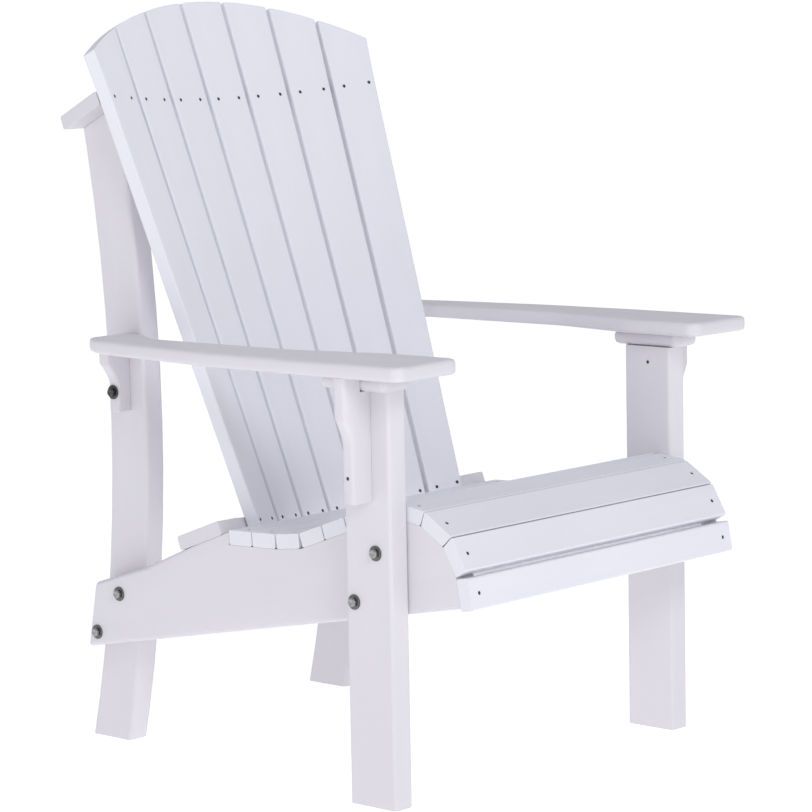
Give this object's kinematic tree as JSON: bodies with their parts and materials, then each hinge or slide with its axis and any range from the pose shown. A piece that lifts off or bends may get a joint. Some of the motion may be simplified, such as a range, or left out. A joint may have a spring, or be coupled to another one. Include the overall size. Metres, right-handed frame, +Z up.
{
  "type": "adirondack chair",
  "caption": "Upright adirondack chair with a hollowed, crown-topped slat back, curved slat seat, wide scooped arms on corbels and bowed rear uprights.",
  "frame": {"origin": "on the floor, under the middle of the chair's overall box", "axes": "+Z up, -Y to the front where the sitter's legs go, +Y to the back, +X to the right as seen from the front"},
  "size_m": [0.808, 0.836, 1.1428],
  "materials": {
    "back_slats": "satin white plastic lumber, fine lengthwise brushing",
    "rails": "satin white plastic lumber, fine lengthwise brushing",
    "seat_slats": "satin white plastic lumber, fine lengthwise brushing",
    "frame_lumber": "satin white plastic lumber, fine lengthwise brushing",
    "arms": "satin white plastic lumber, fine lengthwise brushing",
    "bolt_steel": "dark stainless, satin",
    "washer_steel": "dark stainless, satin"
  },
  "bodies": {
    "root": {"back_slat_1": "back_slats", "back_slat_2": "back_slats", "back_slat_3": "back_slats", "back_slat_4": "back_slats", "back_slat_5": "back_slats", "back_slat_6": "back_slats", "back_slat_7": "back_slats", "top_back_rail": "rails", "lower_back_rail": "rails", "seat_slat_1": "seat_slats", "seat_slat_2": "seat_slats", "seat_slat_3": "seat_slats", "seat_slat_4": "seat_slats", "seat_slat_5": "seat_slats", "seat_slat_6": "seat_slats", "seat_slat_7": "seat_slats", "seat_crest_slat": "seat_slats", "seat_front_slat": "seat_slats", "seat_nose_slat": "seat_slats", "front_apron": "seat_slats", "front_leg_left": "frame_lumber", "front_leg_right": "frame_lumber", "stringer_left": "frame_lumber", "stringer_right": "frame_lumber", "rear_upright_left": "frame_lumber", "rear_upright_right": "frame_lumber", "arm_left": "arms", "arm_right": "arms", "arm_cleat_left": "arms", "arm_cleat_right": "arms", "front_corbel_left": "arms", "front_corbel_right": "arms", "rear_corbel_left": "arms", "rear_corbel_right": "arms", "leg_bolt_upper_left": "bolt_steel", "leg_bolt_upper_right": "bolt_steel", "leg_bolt_lower_left": "bolt_steel", "leg_bolt_lower_right": "bolt_steel", "upright_bolt_upper_left": "bolt_steel", "upright_bolt_upper_right": "bolt_steel", "upright_bolt_lower_left": "bolt_steel", "upright_bolt_lower_right": "bolt_steel", "corbel_bolt_left": "bolt_steel", "corbel_bolt_right": "bolt_steel", "leg_washer_upper_left": "washer_steel", "leg_washer_upper_right": "washer_steel", "leg_washer_lower_left": "washer_steel", "leg_washer_lower_right": "washer_steel", "upright_washer_upper_left": "washer_steel", "upright_washer_upper_right": "washer_steel", "upright_washer_lower_left": "washer_steel", "upright_washer_lower_right": "washer_steel", "corbel_washer_left": "washer_steel", "corbel_washer_right": "washer_steel"}
  },
  "joints": []
}
